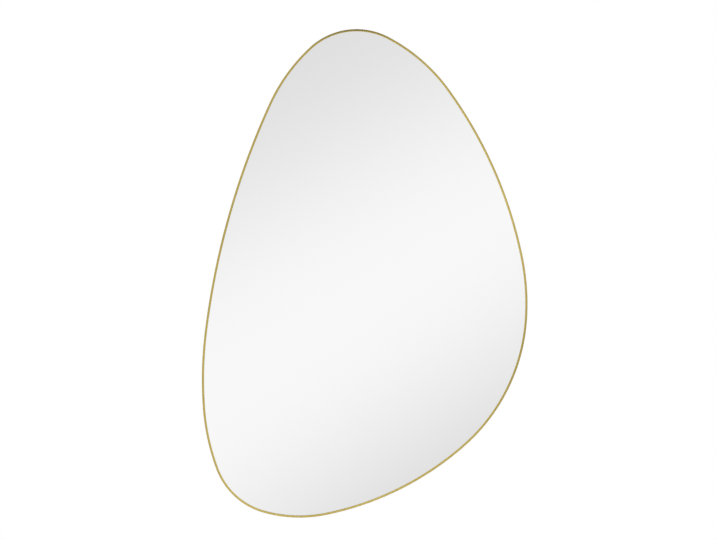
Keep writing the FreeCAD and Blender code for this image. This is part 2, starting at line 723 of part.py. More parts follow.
def make_hanger_screws(name, side):
    """Two pan-head screws, one above the other."""
    seat = "2 * Sizes.strap_sheet - " + level("board_back")
    body = new_body("hanger_screws_" + name, hook_x(side), seat, "%s - Sizes.first_screw_drop" % HINGE_Z)
    profile = new_sketch(body, "XY_Plane", "screw_profile_" + name)
    tip = "-2 * Sizes.strap_sheet - Sizes.screw_bite"
    shank, head = "Sizes.screw_diameter / 2", "Sizes.screw_head_diameter / 2"
    crown, top = "Sizes.screw_crown_diameter / 2", "Sizes.screw_head_height"
    polygon(profile, [("0", tip), (shank, tip), (shank, "0"), (head, "0"), (crown, top), ("0", top)])
    blank = revolve(body, profile, "screw_" + name)
    pattern = body.newObject("PartDesign::LinearPattern", "screw_pair_" + name)
    pattern.Originals = [blank]
    pattern.Direction = (origin_item(body, "Z_Axis"), [""])
    pattern.Reversed = True
    pattern.setExpression("Length", "(Sizes.screw_count - 1) * Sizes.screw_pitch")
    pattern.setExpression("Occurrences", "Sizes.screw_count")
    body.Tip = pattern


# ------------------------------------------------------------------ the wall pads

def make_wall_pads():
    """Round felt pads that span the channel's slot and rest on the wall."""
    count = int(size("pad_count"))
    for index in range(count):
        body = rim_body("wall_pad_%d" % (index + 1), (index + 0.5) / count, size("section_width") / 2)
        disc = new_sketch(body, "XZ_Plane", "pad_disc_%d" % (index + 1))
        draw_circle(disc, "disc", "0", "0", "Sizes.pad_diameter")
        pad(body, disc, "pad_felt_%d" % (index + 1), "Sizes.pad_thickness")


# ------------------------------------------------------------------ build, check and write

def make_mirror():
    make_frame_rail()
    make_splice_plate()
    make_splice_screws()
    make_layer("mirror_glass", GLASS_INSET, "glass_back", "glass_thickness")
    make_layer("safety_film", FILM_INSET, "film_back", "film_thickness")
    make_foam_tapes()
    make_backing_board()
    make_spring_clips()
    for name, side in (("left", -1), ("right", 1)):
        make_hanger_strap(name, side)
        make_hanger_ring(name, side)
        make_hanger_screws(name, side)
    make_wall_pads()
    doc.recompute()


def check_model():
    failed = [item.Label for item in doc.Objects if {"Invalid", "Error"} & set(item.State)]
    loose = [item.Label for item in doc.Objects
             if item.TypeId == "Sketcher::SketchObject" and not item.FullyConstrained]
    broken = [node.Label for node in nodes if node.Shape.isNull() or not node.Shape.isValid()]
    if failed or loose or broken:
        raise RuntimeError("failed: %s, loose sketches: %s, broken shapes: %s" % (failed, loose, broken))


def write_parts():
    os.makedirs("parts", exist_ok=True)
    for node in nodes:
        node.Shape.exportStep("parts/%s.step" % node.Label)
        print(node.Label, len(node.Shape.Solids), "solids", round(node.Shape.Volume, 1), "mm3")


make_mirror()
check_model()
write_parts()
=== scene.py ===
# %% [markdown]
# # A wall mirror of irregular outline
#
# This lesson dresses a finished construction model of a mirror: a pebble-shaped sheet of glass in one thin,
# brushed, pale gold section of aluminium. The construction model gives every size and place. Blender adds
# what the eye reads: rounded edges, the brushing, the reflections, the fibreboard back and the hangers.
#
# Everything is in metres. +X is right and +Z is up as seen from the front, the glass faces -Y, and the wall
# would be the plane y = 0. The origin lies on that wall, midway between the two hooks.

import bpy
import numpy as np
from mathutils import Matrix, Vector


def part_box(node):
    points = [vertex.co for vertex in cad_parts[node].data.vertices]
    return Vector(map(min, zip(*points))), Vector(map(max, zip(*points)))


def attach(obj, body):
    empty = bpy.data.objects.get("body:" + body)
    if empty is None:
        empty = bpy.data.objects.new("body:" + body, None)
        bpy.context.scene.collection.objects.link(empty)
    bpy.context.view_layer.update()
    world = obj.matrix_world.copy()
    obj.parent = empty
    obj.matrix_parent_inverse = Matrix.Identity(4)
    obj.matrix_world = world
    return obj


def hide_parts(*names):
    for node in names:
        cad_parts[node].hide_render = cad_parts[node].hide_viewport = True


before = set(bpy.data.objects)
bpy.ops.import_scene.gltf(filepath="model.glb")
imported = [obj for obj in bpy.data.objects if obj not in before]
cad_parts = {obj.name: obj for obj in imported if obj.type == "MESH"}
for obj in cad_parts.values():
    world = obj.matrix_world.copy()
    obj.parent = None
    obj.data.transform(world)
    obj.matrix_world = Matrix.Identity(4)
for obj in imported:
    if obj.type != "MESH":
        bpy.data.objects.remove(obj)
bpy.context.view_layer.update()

print("pieces of the construction model:", len(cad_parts))

# %% [markdown]
# ## Where the pieces are
#
# Each piece of the construction model can be measured with its box. The mirror is built up in layers from the
# wall to the front, so a few levels are enough to place all that follows: how far the frame's back, the
# board's back, the glass's front and the frame's front stand off the wall.

# %% Levels above the wall
MM = 0.001
frame_low, frame_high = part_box("frame_rail")
FRAME_BACK, FRAME_FRONT = -frame_high.y, -frame_low.y
BOARD_BACK = -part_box("backing_board")[1].y
GLASS_FRONT = -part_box("mirror_glass")[0].y
MIDDLE = Vector(((frame_low.x + frame_high.x) / 2, 0, (frame_low.z + frame_high.z) / 2))
print("levels in mm:", [round(v / MM, 2) for v in (FRAME_BACK, BOARD_BACK, GLASS_FRONT, FRAME_FRONT)])

# %% [markdown]
# ## The camera
#
# The mirror was photographed straight from the front with a long lens, so none of the frame's side shows.
# A lens is long when the camera stands far away: at 6 m the side wall hides behind the front lip. The focal
# length follows from the wanted scale, because the sensor's width over the focal length equals the width that
# the picture covers over the distance. The mirror hangs a few pixels off the picture's middle, and moving the
# camera sideways by as much keeps the view square to the glass.

# %% Camera
PICTURE = (716, 540)  # width and height in pixels
MIRROR_AT = (364.7, 273.4)  # the mirror's middle in that picture, right and down
MM_PER_PIXEL = 1.8421
DISTANCE = 6.0
SENSOR_WIDTH = 36  # in mm, as the lens is

lens_camera = bpy.data.cameras.new("long_lens")
camera = bpy.data.objects.new("camera", lens_camera)
bpy.context.scene.collection.objects.link(camera)
bpy.context.scene.camera = camera
covered = PICTURE[0] * MM_PER_PIXEL * MM
lens_camera.sensor_fit = "HORIZONTAL"
lens_camera.sensor_width = SENSOR_WIDTH
lens_camera.lens = SENSOR_WIDTH * DISTANCE / covered
off_x = (PICTURE[0] / 2 - MIRROR_AT[0]) * MM_PER_PIXEL * MM
off_z = (MIRROR_AT[1] - PICTURE[1] / 2) * MM_PER_PIXEL * MM
camera.location = (MIDDLE.x + off_x, -FRAME_FRONT - DISTANCE, MIDDLE.z + off_z)
camera.rotation_euler = (np.pi / 2, 0, 0)
print("lens of", round(lens_camera.lens, 1), "mm at", DISTANCE, "m")

# %% [markdown]
# ## Writing node materials by hand
#
# A material is a small graph of nodes, and it could be drawn by hand in the shader editor. Written as code it
# can be read, repeated and changed. A first set of helpers keeps the recipes short: one makes a material and
# sets the shader's own sockets, one adds a node and wires its inputs, and one does a sum.

# %% Node helpers
def new_finish(name, **settings):
    """A material whose constants sit on the shader's own sockets, underscores standing for spaces."""
    finish = bpy.data.materials.new(name)
    finish.use_nodes = True
    shader = finish.node_tree.nodes["Principled BSDF"]
    for socket, value in settings.items():
        shader.inputs[socket.replace("_", " ")].default_value = value
    return finish, finish.node_tree, shader


def add(tree, kind, *inputs, **settings):
    """Add a node, set its properties, and feed its inputs in order with numbers or other nodes' sockets."""
    made = tree.nodes.new(kind)
    for name, value in settings.items():
        setattr(made, name, value)
    for place, value in enumerate(inputs):
        if isinstance(value, bpy.types.NodeSocket):
            tree.links.new(value, made.inputs[place])
        elif value is not None:
            made.inputs[place].default_value = value
    return made


def math(tree, operation, first, second=0.0):
    return add(tree, "ShaderNodeMath", first, second, operation=operation).outputs[0]


def object_place(tree):
    """The place in the scene in metres, because every piece's origin is the scene's own."""
    return add(tree, "ShaderNodeTexCoord").outputs["Object"]


def dress(name, finish):
    """Give a piece of the construction model its finish."""
    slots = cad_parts[name].data.materials
    slots.clear()
    slots.append(finish)


# %% [markdown]
# The second set makes patterns. Real surfaces differ from place to place, so each finish below starts from
# noise of a known grain, stretched where the real marks are long, and spread over a range of tone or gloss.

# %% Pattern helpers
def stretched(tree, source, scale, turn=(0, 0, 0)):
    """Coordinates multiplied by a scale, so that a pattern's grain can be long one way."""
    return add(tree, "ShaderNodeMapping", source, (0, 0, 0), turn, scale).outputs[0]


def grain(tree, vector, per_metre, detail=2.0, roughness=0.5):
    """Noise from 0 to 1 whose lumps are about one over per_metre wide."""
    made = add(tree, "ShaderNodeTexNoise", vector)
    made.inputs["Scale"].default_value = per_metre
    made.inputs["Detail"].default_value = detail
    made.inputs["Roughness"].default_value = roughness
    return made.outputs[0]


def spread(tree, value, low, high, from_low=0.3, from_high=0.7):
    """Noise bunches about 0.5, so its middle is spread over the wanted range."""
    return add(tree, "ShaderNodeMapRange", value, from_low, from_high, low, high).outputs[0]


def blend(tree, share, first, second, kind="RGBA"):
    """The first colour (or number, for kind FLOAT) where the share is 0 and the second where it is 1."""
    made = add(tree, "ShaderNodeMix", data_type=kind)
    sockets = [socket for socket in made.inputs if socket.enabled]
    for socket, value in zip(sockets, (share, first, second)):
        if isinstance(value, bpy.types.NodeSocket):
            tree.links.new(value, socket)
        else:
            socket.default_value = value
    return [socket for socket in made.outputs if socket.enabled][0]


def rise(tree, value, start, end):
    """A share that rises softly from 0 at the start to 1 at the end."""
    return add(tree, "ShaderNodeMapRange", value, start, end, 0.0, 1.0,
               interpolation_type="SMOOTHSTEP").outputs[0]


def raise_bumps(tree, shader, height, distance, strength=1.0):
    """Let a height from 0 to 1 tilt the surface as if it stood that distance high."""
    made = add(tree, "ShaderNodeBump")
    made.inputs["Strength"].default_value = strength
    made.inputs["Distance"].default_value = distance
    tree.links.new(height, made.inputs["Height"])
    tree.links.new(made.outputs[0], shader.inputs["Normal"])


# %% [markdown]
# ## The studio
#
# A mirror has no look of its own: it shows the room. The room here is a white studio with two soft grey
# cards in front of the mirror, one high on the left and one low on the right. They darken two corners of the
# glass and leave a bright slanted band between them.
#
# The walls stand round the cards, and from the front only the frame's lip shows them. The near ones run from
# dark above to bright below and towards the upper right, so the brushed lip changes its tone as it bends. The
# far ones keep that pattern, but they stay under white and ripple slowly, so that the glass, when it is seen
# from the side, has a grey of its own.
#
# The world holds all of that as a brightness for each direction, for glossy and transmitted rays only. The
# camera itself sees plain white, and matt surfaces get an even grey light.

# %% World
STUDIO_WHITE = 0.95
DIFFUSE_LEVEL = 0.72
LEAST_AHEAD = 0.05
CARDS = [
    # towards which slant, in degrees from +X, then start and half width as slopes of the ray, then depth
    (118.5, -0.0087, 0.0872, 0.21),
    (-56.2, 0.0103, 0.0918, 0.30),
]
# each zone of wall starts, and is whole, at a sine of the ray's angle to the view axis
WALL_STARTS, WALL_ENDS = 0.09, 0.20
FAR_STARTS, FAR_ENDS = 0.22, 0.30
# near walls have a level, a gain on the waves and a least brightness; far ones a least brightness and a
# ripple's level, size and spacing
NEAR_LEVEL, NEAR_GAIN, NEAR_LEAST = 1.45, 3.2, 0.06
FAR_LEAST, FAR_LEVEL, FAR_SWELL, FAR_SPACING = 0.15, 0.90, 0.09, 0.5
WALL_WAVES = [
    # how many times the brightness rises on a way round the view, by how much, and where, in degrees from +X
    (1, 0.35, -73),
    (2, 0.25, 26),
    (3, 0.43, 32),
    (4, 0.32, 36),
]


def card_shade(tree, slope_x, slope_z, slant, start, half_width, depth):
    """A card darkens as a cosine: nothing at its start, most at the half width, nothing again at the end."""
    turn = np.radians(slant)
    along = math(tree, "ADD", math(tree, "MULTIPLY", slope_x, np.cos(turn)),
                 math(tree, "MULTIPLY", slope_z, np.sin(turn)))
    share = add(tree, "ShaderNodeMapRange", along, start, start + 2 * half_width, 0.0, 1.0).outputs[0]
    wave = math(tree, "COSINE", math(tree, "MULTIPLY", share, 2 * np.pi))
    return math(tree, "MULTIPLY", math(tree, "SUBTRACT", 1.0, wave), depth / 2)


def studio_brightness(tree):
    """White, less the cards, times the wall away from the middle. The wall is a level plus waves, each of
    them a size times the cosine of a count times the way round the view axis. Far walls are held between
    their least and 1, and multiplied by a ripple: a level plus a cosine of the sine of the angle."""
    ray = add(tree, "ShaderNodeTexCoord").outputs["Generated"]
    parts = add(tree, "ShaderNodeSeparateXYZ", ray).outputs
    ahead = math(tree, "MAXIMUM", math(tree, "ABSOLUTE", parts[1]), LEAST_AHEAD)
    slope_x = math(tree, "DIVIDE", parts[0], ahead)
    slope_z = math(tree, "DIVIDE", parts[2], ahead)
    level = STUDIO_WHITE
    for card in CARDS:
        level = math(tree, "SUBTRACT", level, card_shade(tree, slope_x, slope_z, *card))
    way = math(tree, "ARCTAN2", parts[2], parts[0])
    waves = 0.0
    for count, size, crest in WALL_WAVES:
        turned = math(tree, "MULTIPLY", math(tree, "SUBTRACT", way, np.radians(crest)), count)
        waves = math(tree, "ADD", waves, math(tree, "MULTIPLY", math(tree, "COSINE", turned), size))
    near = math(tree, "ADD", math(tree, "MULTIPLY", waves, NEAR_GAIN), NEAR_LEVEL)
    near = math(tree, "MAXIMUM", near, NEAR_LEAST)
    squares = [math(tree, "MULTIPLY", part, part) for part in (parts[0], parts[2])]
    lean = math(tree, "SQRT", math(tree, "ADD", *squares))
    far = math(tree, "MINIMUM", math(tree, "MAXIMUM", math(tree, "ADD", waves, 1.0), FAR_LEAST), 1.0)
    ripple = math(tree, "COSINE", math(tree, "MULTIPLY", lean, 2 * np.pi / FAR_SPACING))
    ripple = math(tree, "ADD", math(tree, "MULTIPLY", ripple, FAR_SWELL), FAR_LEVEL)
    far = math(tree, "MULTIPLY", far, ripple)
    wall = blend(tree, rise(tree, lean, FAR_STARTS, FAR_ENDS), near, far, "FLOAT")
    share = rise(tree, lean, WALL_STARTS, WALL_ENDS)
    return math(tree, "MULTIPLY", level, blend(tree, share, 1.0, wall, "FLOAT"))


def build_world():
    world = bpy.data.worlds.new("studio")
    world.use_nodes = True
    bpy.context.scene.world = world
    tree = world.node_tree
    sky = tree.nodes["Background"]
    rays = add(tree, "ShaderNodeLightPath").outputs
    mirrored = math(tree, "MAXIMUM", rays["Is Glossy Ray"], rays["Is Transmission Ray"])
    lit = blend(tree, mirrored, DIFFUSE_LEVEL, studio_brightness(tree), "FLOAT")
    tree.links.new(blend(tree, rays["Is Camera Ray"], lit, 1.0, "FLOAT"), sky.inputs["Strength"])
    sky.inputs["Color"].default_value = (1, 1, 1, 1)


build_world()
print("nodes in the studio's world:", len(bpy.context.scene.world.node_tree.nodes))

# %% [markdown]
# One large lamp above gives the board, the pads and the floor a direction of light. Shiny surfaces don't see
# it: they show the studio alone, so that no patch of lamp lies on the frame or the glass. The floor is a pale
# disc well below the mirror, which fades out towards its rim, so that no edge shows against the white.

# %% Lamp and floor
LAMP_SIZE, LAMP_WATTS = 2.4, 60
LAMP_LEFT, LAMP_AHEAD, LAMP_HEIGHT = 0.6, 0.8, 2.6
FLOOR_DROP, FLOOR_RADIUS, FLOOR_SIDES = 0.55, 2.5, 96
FLOOR_FADES, FLOOR_GONE = 0.3, 0.97  # shares of the radius

lamp_light = bpy.data.lights.new("overhead_softbox", "AREA")
lamp_light.shape = "SQUARE"
lamp_light.size = LAMP_SIZE
lamp_light.energy = LAMP_WATTS
lamp = bpy.data.objects.new("overhead_softbox", lamp_light)
lamp.location = (MIDDLE.x - LAMP_LEFT, -LAMP_AHEAD, MIDDLE.z + LAMP_HEIGHT)
lamp.rotation_euler = (MIDDLE - lamp.location).to_track_quat("-Z", "Y").to_euler()
lamp.visible_glossy = False
bpy.context.scene.collection.objects.link(lamp)


def floor_finish():
    """Pale grey, clear towards the rim, and clear from below, so that a low view isn't fogged by it."""
    finish, tree, shader = new_finish("pale_floor", Base_Color=(0.86, 0.86, 0.86, 1), Roughness=0.9)
    place = add(tree, "ShaderNodeVectorMath", object_place(tree), operation="LENGTH").outputs["Value"]
    cover = add(tree, "ShaderNodeMapRange", place, FLOOR_FADES * FLOOR_RADIUS, FLOOR_GONE * FLOOR_RADIUS,
                1.0, 0.0, interpolation_type="SMOOTHSTEP").outputs[0]
    above = math(tree, "SUBTRACT", 1.0, add(tree, "ShaderNodeNewGeometry").outputs["Backfacing"])
    tree.links.new(math(tree, "MULTIPLY", cover, above), shader.inputs["Alpha"])
    return finish


rim_turn = np.linspace(0, 2 * np.pi, FLOOR_SIDES + 1)[:-1]
rim = FLOOR_RADIUS * np.stack([np.cos(rim_turn), np.sin(rim_turn), np.zeros(FLOOR_SIDES)], axis=1)
floor_mesh = bpy.data.meshes.new("floor")
floor_mesh.from_pydata(rim.tolist(), [], [list(range(FLOOR_SIDES))])
floor_mesh.materials.append(floor_finish())
floor = bpy.data.objects.new("floor", floor_mesh)
floor.location = (MIDDLE.x, 0, frame_low.z - FLOOR_DROP)
bpy.context.scene.collection.objects.link(floor)
print("floor at", round(floor.location.z, 3), "m, lamp at", [round(v, 2) for v in lamp.location])

# %% [markdown]
# ## The outline
#
# The pebble is a closed chain of twelve arcs that touch without a kink. Four of them run over the extreme
# points of a 600 x 900 mm box: the right, the crown, the left and the base. Between two of those lie two
# free arcs. Their radii aren't chosen: the chain has to close, and that gives two equations for two radii.

# %% Outline sizes
BOX_WIDTH, BOX_HEIGHT = 600, 900  # in mm, as the lengths in the table are
HOOKS_AT = np.array([289, 652]) * MM  # the scene's origin, from the box's lower left corner
EXTREMES = [
    # where the arc touches the box, its radius, its sweeps before and after that point, then the sweep of
    # the free arc that follows; lengths in mm and sweeps in degrees
    ((BOX_WIDTH, 394), 431, 4, 11.5, 24.5),
    ((285, BOX_HEIGHT), 127, 27.5, 43, 22.5),
    ((0, 254), 724, 7, 4, 16.5),
    ((180, 0), 246, 15.5, 11.5, 30),
]
BASE = 3


def compass(degrees):
    """Unit vectors at angles counted counter-clockwise from +X."""
    return np.stack([np.cos(np.radians(degrees)), np.sin(np.radians(degrees))], axis=-1)


def quarter_arcs(number):
    """From one extreme point to the next. A tangent chain of arcs spans the sum of each radius times the
    change of its direction vector, so the two free radii solve a 2 x 2 system."""
    point, first_radius, _, after, free = EXTREMES[number]
    goal, last_radius, before, _, _ = EXTREMES[(number + 1) % 4]
    start = 90 * number
    angles = np.array([start, start + after, start + after + free, start + 90 - before, start + 90])
    steps = np.diff(compass(angles), axis=0)
    rest = np.subtract(goal, point) * MM - steps[0] * first_radius * MM - steps[3] * last_radius * MM
    free_radii = np.linalg.solve(steps[1:3].T, rest)
    radii = np.array([first_radius * MM, *free_radii, last_radius * MM])
    ends = np.array(point) * MM + np.cumsum(steps * radii[:, None], axis=0)
    centers = ends - compass(angles[1:]) * radii[:, None]
    return np.column_stack([centers, radii, angles[:-1], angles[1:]])


def outline_arcs():
    """Twelve rows of centre x, centre z, radius, first angle and last angle, from the base point round."""
    quarters = [quarter_arcs((BASE + step) % 4) for step in range(4)]
    quarters = [rows + np.array([0, 0, 0, 360, 360]) * (step > 0) for step, rows in enumerate(quarters)]
    return np.vstack(quarters)


def walk(count, gap=0.0):
    """Evenly spaced places along the outline, from the base point once round, less a gap at the end. Each is
    a point, its outward direction, and the distance walked: angle = first angle + distance over radius."""
    arcs = outline_arcs()
    lengths = np.radians(arcs[:, 4] - arcs[:, 3]) * arcs[:, 2]
    marks = np.concatenate([[0], np.cumsum(lengths)])
    distance = np.linspace(0, marks[-1] - gap, count)
    which = np.clip(np.searchsorted(marks, distance, side="right") - 1, 0, len(arcs) - 1)
    arc = arcs[which]
    outward = compass(arc[:, 3] + np.degrees((distance - marks[which]) / arc[:, 2]))
    return arc[:, :2] + outward * arc[:, 2:3] - HOOKS_AT, outward, distance


around, _, walked = walk(2000)
print("perimeter", round(walked[-1], 3), "m; box in mm", np.round(np.ptp(around, axis=0) / MM, 2))

# %% [markdown]
# ## Carrying a profile along the outline
#
# A swept surface is a grid: one row per place along the path, one column per point of the profile. The
# profile is drawn as straight runs with rounded corners. Because every corner is rounded, each point has one
# clear normal, and those normals go onto the mesh, so that the flats shade flat and the corners smooth.

# %% Rounded profiles
def rounded(corners, radii, steps=4):
    """Replace each corner of a closed profile by an arc. With a and b the unit vectors to the neighbours, the
    arc's centre lies on their bisector at radius over the sine of half the corner's angle. Returns the
    points and their outward normals for a profile that runs counter-clockwise."""
    corners = np.asarray(corners, float)
    radii = np.broadcast_to(np.asarray(radii, float), len(corners))
    back = np.roll(corners, 1, axis=0) - corners
    ahead = np.roll(corners, -1, axis=0) - corners
    back /= np.linalg.norm(back, axis=1)[:, None]
    ahead /= np.linalg.norm(ahead, axis=1)[:, None]
    bisector = back + ahead
    bisector /= np.linalg.norm(bisector, axis=1)[:, None]
    half = np.arccos(np.clip(np.sum(bisector * ahead, axis=1), -1, 1))
    center = corners + bisector * (radii / np.sin(half))[:, None]
    convex = np.sign(back[:, 1] * ahead[:, 0] - back[:, 0] * ahead[:, 1])
    swing = (np.pi / 2 - half)[:, None] * np.linspace(-1, 1, steps + 1)[None]
    cosine, sine = np.cos(swing * convex[:, None]), np.sin(swing * convex[:, None])
    away = -bisector[:, None, :]
    ray = np.stack([away[..., 0] * cosine - away[..., 1] * sine,
                    away[..., 0] * sine + away[..., 1] * cosine], axis=-1)
    points = center[:, None, :] + ray * radii[:, None, None]
    normals = ray * convex[:, None, None]
    return points.reshape(-1, 2), normals.reshape(-1, 2)


# %% [markdown]
# A grid becomes a mesh once its neighbouring points are joined by faces. The faces must point outwards: the
# volume that they enclose tells, because it comes out negative when they point inwards.

# %% Meshes from grids
def enclosed(vertices, faces):
    """The volume inside a closed mesh: a sixth of the sum of a . (b x c) over its triangles. It is negative
    where the faces point inwards."""
    total = 0.0
    for size in {len(face) for face in faces}:
        loops = vertices[np.array([face for face in faces if len(face) == size])]
        for corner in range(1, size - 1):
            total += np.sum(loops[:, 0] * np.cross(loops[:, corner], loops[:, corner + 1])) / 6
    return total


FLATTEST = 100  # the modifier's highest weight for large faces


def mesh_piece(name, vertices, faces, normals=None, finish=None):
    """An object at the origin from plain arrays, its faces turned outwards, with its exact normals if they
    are known, and otherwise with normals that keep the large faces flat."""
    if enclosed(vertices, faces) < 0:
        faces = [face[::-1] for face in faces]
    mesh = bpy.data.meshes.new(name)
    mesh.from_pydata(vertices.tolist(), [], faces)
    mesh.shade_smooth()
    if normals is not None:
        mesh.normals_split_custom_set_from_vertices(normals.tolist())
    if finish is not None:
        mesh.materials.append(finish)
    piece = bpy.data.objects.new(name, mesh)
    bpy.context.scene.collection.objects.link(piece)
    if normals is None:
        piece.modifiers.new("flat_faces_stay_flat", "WEIGHTED_NORMAL").weight = FLATTEST
    return piece


def grid_faces(rows, columns, close_rows=False, close_columns=True):
    """Four-cornered faces between neighbouring rows and columns of a grid of vertices."""
    row, column = np.meshgrid(np.arange(rows if close_rows else rows - 1),
                              np.arange(columns if close_columns else columns - 1), indexing="ij")
    right, up = (column + 1) % columns, (row + 1) % rows
    quads = np.stack([row * columns + column, row * columns + right, up * columns + right,
                      up * columns + column], axis=-1)
    return quads.reshape(-1, 4).tolist()


def give_map(piece, across, along, columns):
    """A UV map in metres: U across the profile and V along the path, one value a vertex."""
    mesh = piece.data
    corner = np.empty(len(mesh.loops), int)
    mesh.loops.foreach_get("vertex_index", corner)
    layer = mesh.uv_layers.new(name="grain")
    uv = np.stack([across[corner % columns], along[corner // columns]], axis=1)
    layer.data.foreach_set("uv", uv.astype(np.float32).ravel())


# %% [markdown]
# ## Brushed, anodised aluminium
#
# The frame was drawn through a die, brushed along its length and then anodised pale gold. Brushing leaves
# thousands of hair-fine scratches, all one way, so a highlight spreads across them and stays short along
# them. An image of brushed metal would show its edges and repeats. The shader's anisotropy needs none, with
# its tangent taken from U, which runs across the strip. Noise that is stretched along V gives the scratches
# themselves, and a slow noise lets the tone wander by a few percent.

# %% Gold finish
# lumps of noise a metre, across the strip and along it
SCRATCHES, STREAKS, SLOW_TONE = (5200, 14, 1), (900, 5, 1), (20, 7, 1)
GOLD_DEEP, GOLD_PALE = (0.485, 0.37, 0.09, 1), (0.625, 0.50, 0.155, 1)


def gold_finish():
    finish, tree, shader = new_finish("brushed_gold", Metallic=1.0, Anisotropic=0.7)
    source = add(tree, "ShaderNodeUVMap", uv_map="grain").outputs[0]
    hairs = grain(tree, stretched(tree, source, SCRATCHES), 1.0, 3.0, 0.6)
    streaks = grain(tree, stretched(tree, source, STREAKS), 1.0, 2.0)
    slow = grain(tree, stretched(tree, source, SLOW_TONE), 1.0, 1.0)
    tone = math(tree, "ADD", math(tree, "MULTIPLY", hairs, 0.45),
                math(tree, "ADD", math(tree, "MULTIPLY", streaks, 0.3), math(tree, "MULTIPLY", slow, 0.25)))
    color = blend(tree, spread(tree, tone, 0, 1, 0.35, 0.65), GOLD_DEEP, GOLD_PALE)
    tree.links.new(color, shader.inputs["Base Color"])
    tree.links.new(spread(tree, hairs, 0.28, 0.38), shader.inputs["Roughness"])
    tangent = add(tree, "ShaderNodeTangent", direction_type="UV_MAP", uv_map="grain").outputs[0]
    tree.links.new(tangent, shader.inputs["Tangent"])
    raise_bumps(tree, shader, hairs, 0.01 * MM, 0.35)
    return finish


# %% [markdown]
# ## The frame
#
# One section, bent round the pebble and butted at the base. Seen in section from the outer face inwards it
# has the thin front lip over the glass, the side wall, a shelf behind the board, and a channel with two
# hooked rear lips. Its visible front is only 4 mm wide, so its shape matters most: it is level at the glass,
# falls by half a millimetre towards the outside in a shallow dome, and turns round a softened edge.
# The swept grid starts at the seam and ends a hair before it, and both ends are closed.

# %% Frame
SEAM = 0.3 * MM
OUTER_WALL, LIP_WIDTH = 1.2 * MM, 4 * MM
SECTION_WIDTH, SHELF, INNER_WALL = 11 * MM, 1.2 * MM, 1.2 * MM
CHANNEL, REAR_LIP, REAR_LIP_WIDTH = 4 * MM, 1.2 * MM, 3.4 * MM
DOME_START, DOME_FALL, DOME_ROUND = 2 * MM, 0.5 * MM, 13 * MM
LIP_ROUND, EDGE_ROUND = 0.6 * MM, 0.25 * MM
DOMED_CORNERS = slice(5, 7)  # the dome's start and the lip's outer edge, counted in the profile
PATH_STEPS = 1100


def frame_profile():
    """Corners as (distance in from the outer face, distance from the wall), counter-clockwise. The first one
    lies behind the board, because the brushing's map starts there and its wrap would show elsewhere."""
    back, channel_back = FRAME_BACK, FRAME_BACK + REAR_LIP
    shelf_back = channel_back + CHANNEL
    shelf_front = shelf_back + SHELF
    inner, hook = SECTION_WIDTH - INNER_WALL, SECTION_WIDTH - REAR_LIP_WIDTH
    corners = [
        (SECTION_WIDTH, shelf_front), (OUTER_WALL, shelf_front), (OUTER_WALL, GLASS_FRONT),
        (LIP_WIDTH, GLASS_FRONT), (LIP_WIDTH, FRAME_FRONT), (DOME_START, FRAME_FRONT),
        (0, FRAME_FRONT - DOME_FALL), (0, back),
        (REAR_LIP_WIDTH, back), (REAR_LIP_WIDTH, channel_back), (OUTER_WALL, channel_back),
        (OUTER_WALL, shelf_back), (inner, shelf_back), (inner, channel_back), (hook, channel_back),
        (hook, back), (SECTION_WIDTH, back),
    ]
    radii = np.full(len(corners), EDGE_ROUND)
    radii[DOMED_CORNERS] = DOME_ROUND, LIP_ROUND
    return rounded(corners, radii)


def frame_piece():
    """Each vertex is the outline's point, less its outward direction times the profile's inset."""
    profile, slopes = frame_profile()
    point, outward, distance = walk(PATH_STEPS, SEAM)
    flat = point[:, None, :] - outward[:, None, :] * profile[None, :, :1]
    depth = np.broadcast_to(-profile[None, :, 1], flat.shape[:2])
    vertices = np.stack([flat[..., 0], depth, flat[..., 1]], axis=-1).reshape(-1, 3)
    lean = -outward[:, None, :] * slopes[None, :, :1]
    front = np.broadcast_to(-slopes[None, :, 1], flat.shape[:2])
    normals = np.stack([lean[..., 0], front, lean[..., 1]], axis=-1).reshape(-1, 3)
    columns = len(profile)
    faces = grid_faces(PATH_STEPS, columns)
    first, last = list(range(columns)), list(range((PATH_STEPS - 1) * columns, PATH_STEPS * columns))
    piece = mesh_piece("brushed_frame", vertices, faces + [first[::-1], last], normals, gold_finish())
    around_section = np.concatenate([[0], np.cumsum(np.linalg.norm(np.diff(profile, axis=0), axis=1))])
    give_map(piece, around_section, distance, columns)
    return piece


frame_rail = frame_piece()
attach(frame_rail, "mirror_body")
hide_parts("frame_rail")
print("frame faces:", len(frame_rail.data.polygons))

# %% [markdown]
# ## The glass
#
# The sheet is flat float glass with silver on its back. Its edge is hidden all round, so what shows is the
# reflection, and a metal with no roughness gives that. A clear coat adds the faint second reflection of the
# glass's front face. Float glass is flat to a few thousandths of a millimetre over a hand's width, and a
# very low, slow bump lets far reflections bend as little as they do in a real mirror.

# %% Silvered glass
def mirror_finish():
    finish, tree, shader = new_finish("silvered_glass", Base_Color=(0.985, 0.988, 0.985, 1), Metallic=1.0,
                                      Roughness=0.0, Coat_Weight=0.3, Coat_Roughness=0.0, Coat_IOR=1.5)
    raise_bumps(tree, shader, grain(tree, object_place(tree), 6.0, 1.0), 0.01 * MM, 0.3)
    return finish


dress("mirror_glass", mirror_finish())
print("glass front at", round(GLASS_FRONT / MM, 2), "mm off the wall")

# %% [markdown]
# ## The board
#
# The back is a sheet of medium-density fibreboard: wood ground to fibres and pressed with glue. From a step
# away it is an even light brown. Nearer, it has pale and dark flecks, which are bundles of fibres a few
# millimetres long that lie every way, and clouds the size of a hand where the mat was thicker. Three layers
# of flecks, each turned and stretched its own way, give the felted look without any one direction.

